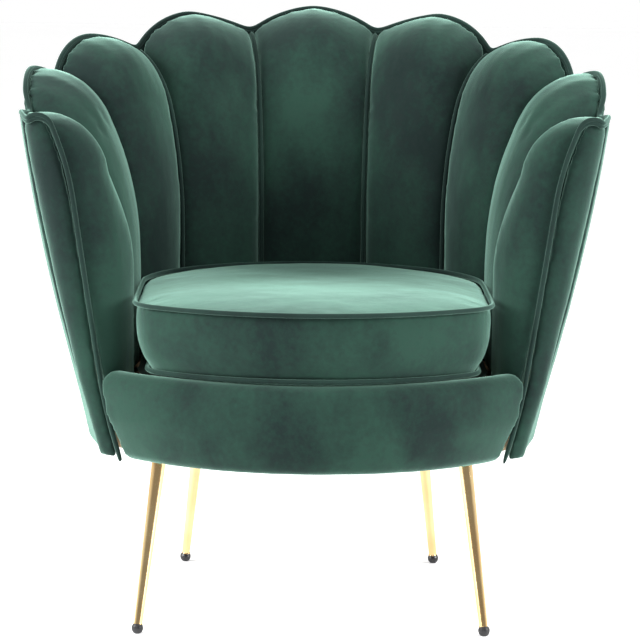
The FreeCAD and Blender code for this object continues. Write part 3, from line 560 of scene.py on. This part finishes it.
# %% Petals
PETAL_VOXEL = 6.0 * MM
PETAL_GROW = 0.9 * MM
PETAL_RISE = 5.0 * MM
for number in range(5, 10):
    node = "petal_%d" % number
    low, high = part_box(node)
    middle = (low + high) / 2
    way = Vector((-middle.x, -middle.y - 0.02, 0.10))
    if number == 5:
        way = Vector((0.0, -1.0, 0.35))
    piece = remeshed(node, "velvet_petal_%d" % number, PETAL_VOXEL, 2)
    fatten(piece, PETAL_GROW)
    inflate(piece, way, PETAL_RISE)
    pair = [(piece, node)]
    if number > 5:
        twin_number = 10 - number
        pair.append((mirrored(piece, "velvet_petal_%d" % twin_number), "petal_%d" % twin_number))
    for item, stood_for in pair:
        unevenness(item, 0.045, 1.2 * MM)
        soften(item)
        dress(item, stood_for, "chair", "velvet")

# %% [markdown]
# ## Outside covers, arm fronts and front rail
# The outside is velvet over thin wadding, pulled tight over the frame, so it isn't blown up. It is
# only rounded at its edges and made slightly uneven.

# %% Outside covers
OUTSIDE_VOXEL = 4.0 * MM
OUTSIDE_GROW = 1.3 * MM
for number in range(5, 10):
    node = "outside_panel_%d" % number
    piece = remeshed(node, "velvet_outside_%d" % number, OUTSIDE_VOXEL, 3)
    fatten(piece, OUTSIDE_GROW)
    pair = [(piece, node)]
    if number > 5:
        twin_number = 10 - number
        pair.append((mirrored(piece, "velvet_outside_%d" % twin_number), "outside_panel_%d" % twin_number))
    for item, stood_for in pair:
        unevenness(item, 0.06, 0.9 * MM)
        soften(item)
        dress(item, stood_for, "chair", "velvet")

# %% [markdown]
# ### Arm fronts and front rail
# These carry more padding than the outside, so they are simulated as the petals are. One arm front is
# made and mirrored, and the rail's lower edge is left free so that it rolls under.

# %% Arm fronts and front rail
ARM_RISE = 4.0 * MM
RAIL_RISE = 5.0 * MM
piece = remeshed("arm_front_right", "velvet_arm_front_right", 5.0 * MM, 3)
fatten(piece, 0.4 * MM)
inflate(piece, (0.35, -1.0, 0.1), ARM_RISE)
twin = mirrored(piece, "velvet_arm_front_left")
for item, node in ((piece, "arm_front_right"), (twin, "arm_front_left")):
    unevenness(item, 0.05, 0.9 * MM)
    soften(item)
    dress(item, node, "chair", "velvet")

rail = remeshed("front_rail_cover", "velvet_front_rail", 5.0 * MM, 3)
fatten(rail, 0.8 * MM)
inflate(rail, (0.0, -1.0, -0.1), RAIL_RISE, 0.1)
unevenness(rail, 0.06, 1.0 * MM)
soften(rail)
dress(rail, "front_rail_cover", "chair", "velvet")

# %% [markdown]
# ## Seat cushion
# A boxed cushion: a crowned top, a border that draws in below, and piping in both seams. Its skin is held
# only beside the two seams, so the simulation fills the top, the border and the underside between them.

# %% Seat cushion
CUSHION_RISE = 7.0 * MM
HOLD_NOTHING = -2.0
cushion = remeshed("cushion_cover", "velvet_seat_cushion", 6.0 * MM, 2, outer=True)
cushion_seams = []
for side in ("top", "bottom"):
    low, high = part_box("cushion_piping_" + side)
    cushion_seams.append((low.z + high.z) / 2)
inflate(cushion, (0.0, 0.0, 1.0), CUSHION_RISE, HOLD_NOTHING, cushion_seams)
unevenness(cushion, 0.06, 1.6 * MM)
soften(cushion)
dress(cushion, "cushion_cover", "seat_cushion", "velvet")
core = copy_of_node("cushion_core", "foam_seat_core")
apply(core, "BEVEL", width=4.0 * MM, segments=3)
dress(core, "cushion_core", "seat_cushion", "foam")

# %% [markdown]
# ## Piping
# Piping is a cord sewn into a strip of the same velvet. The solids are eight-sided tubes with mitred
# corners, so each only needs its flat sides rounded by a subdivision.

# %% Piping
CORD_GROW = 0.33 * MM
RIM_STRIP = (-1.5 * MM, 5.0 * MM)
SEAM_STRIP = (4.5 * MM, 1.5 * MM)


def tuck_seam(piece, sunk, down):
    # The strip that holds the cord goes on into the seam behind it: a second run, set back from the first.
    strip = piece.copy()
    strip.data = piece.data.copy()
    scene.collection.objects.link(strip)
    points = points_of(strip)
    flat = np.linalg.norm(points[:, :2], axis=1, keepdims=True)
    points[:, :2] += points[:, :2] / flat * sunk
    points[:, 2] -= down
    move_points(strip, points)
    bpy.ops.object.select_all(action="DESELECT")
    strip.select_set(True)
    piece.select_set(True)
    bpy.context.view_layer.objects.active = piece
    bpy.ops.object.join()


def piping(node, name, body, strips=()):
    piece = copy_of_node(node, name)
    bpy.ops.object.mode_set(mode="EDIT")
    bpy.ops.mesh.select_all(action="SELECT")
    bpy.ops.mesh.tris_convert_to_quads(face_threshold=math.radians(10), shape_threshold=math.radians(180))
    bpy.ops.object.mode_set(mode="OBJECT")
    fatten(piece, CORD_GROW)
    for sunk, down in strips:
        tuck_seam(piece, sunk, down)
    soften(piece, 2)
    dress(piece, node, body, "velvet_piping")
    return piece


rim = piping("rim_piping", "velvet_rim_piping", "chair", [RIM_STRIP])
for number in range(1, 9):
    piping("seam_piping_%d" % number, "velvet_seam_piping_%d" % number, "chair", [SEAM_STRIP])
# Where the arm meets its neighbour, the real rim is drawn in behind the arm front.
DRAW_IN = 4.5 * MM
DRAW_REACH = 45.0 * MM
ARM_NOTCH = np.array([0.4038, -0.0697, 0.695])
points = points_of(rim)
apart = np.linalg.norm(np.abs(points) * [1, 0, 0] + points * [0, 1, 1] - ARM_NOTCH, axis=1)
share = np.clip(1 - apart / DRAW_REACH, 0, 1)
points[:, 0] -= np.sign(points[:, 0]) * DRAW_IN * share * share * (3 - 2 * share)
move_points(rim, points)
piping("cushion_piping_top", "velvet_cushion_piping_top", "seat_cushion")
piping("cushion_piping_bottom", "velvet_cushion_piping_bottom", "seat_cushion")

# %% [markdown]
# ## Seat deck and dust cloth
# Under the cushion lie a pad and a plain cloth, and a black cloth closes the underside. They could be
# drawn anew, but they are flat, so thin copies of their solids are enough.

# %% Deck and dust cloth
pad = remeshed("deck_pad", "deck_wadding", 7.0 * MM, 3)
fatten(pad, -0.6 * MM)
soften(pad, 0)
dress(pad, "deck_pad", "chair", "foam")


for node, name, slot in (("deck_cloth", "deck_cover_cloth", "deck_cloth"),
                         ("dust_cloth", "underside_dust_cloth", "dust_cloth")):
    low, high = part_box(node)
    piece = copy_of_node(node, name)
    dress(piece, node, "chair", slot)

# %% [markdown]
# ## Glide rings
# A thin bright ring shows between each leg tube and its black glide. It is the turned edge of the tube.

# %% Glide rings
RING_RADIUS = 5.6 * MM
RING_THICK = 0.9 * MM
RING_DROP = 0.2 * MM
END_BAND = 4.0 * MM
for corner in ("front_left", "front_right", "rear_left", "rear_right"):
    low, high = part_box("leg_" + corner)
    leg = np.array([v.co for v in nodes["leg_" + corner].data.vertices])
    foot = leg[leg[:, 2] < low.z + END_BAND].mean(axis=0)
    head = leg[leg[:, 2] > high.z - END_BAND].mean(axis=0)
    along = Vector(head - foot).normalized()
    centre = Vector(foot) - along * RING_DROP
    bpy.ops.mesh.primitive_torus_add(major_segments=40, minor_segments=12, major_radius=RING_RADIUS,
                                     minor_radius=RING_THICK, location=centre,
                                     rotation=along.to_track_quat("Z", "Y").to_euler())
    ring = bpy.context.object
    ring.name = "glide_ring_" + corner
    bpy.ops.object.transform_apply(location=True, rotation=True, scale=True)
    bpy.ops.object.shade_smooth()
    ring.data.materials.append(gold)
    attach(ring, "chair")
print("rings made")

# %% [markdown]
# ## Sizes
# The finished model is meant to stay within the box of the solids, so both boxes are measured and printed.

# %% Sizes
size = {"cad": [list(map(float, corner)) for corner in cad_box],
        "visual": [list(map(float, corner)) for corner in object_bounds()]}
print("size", size)
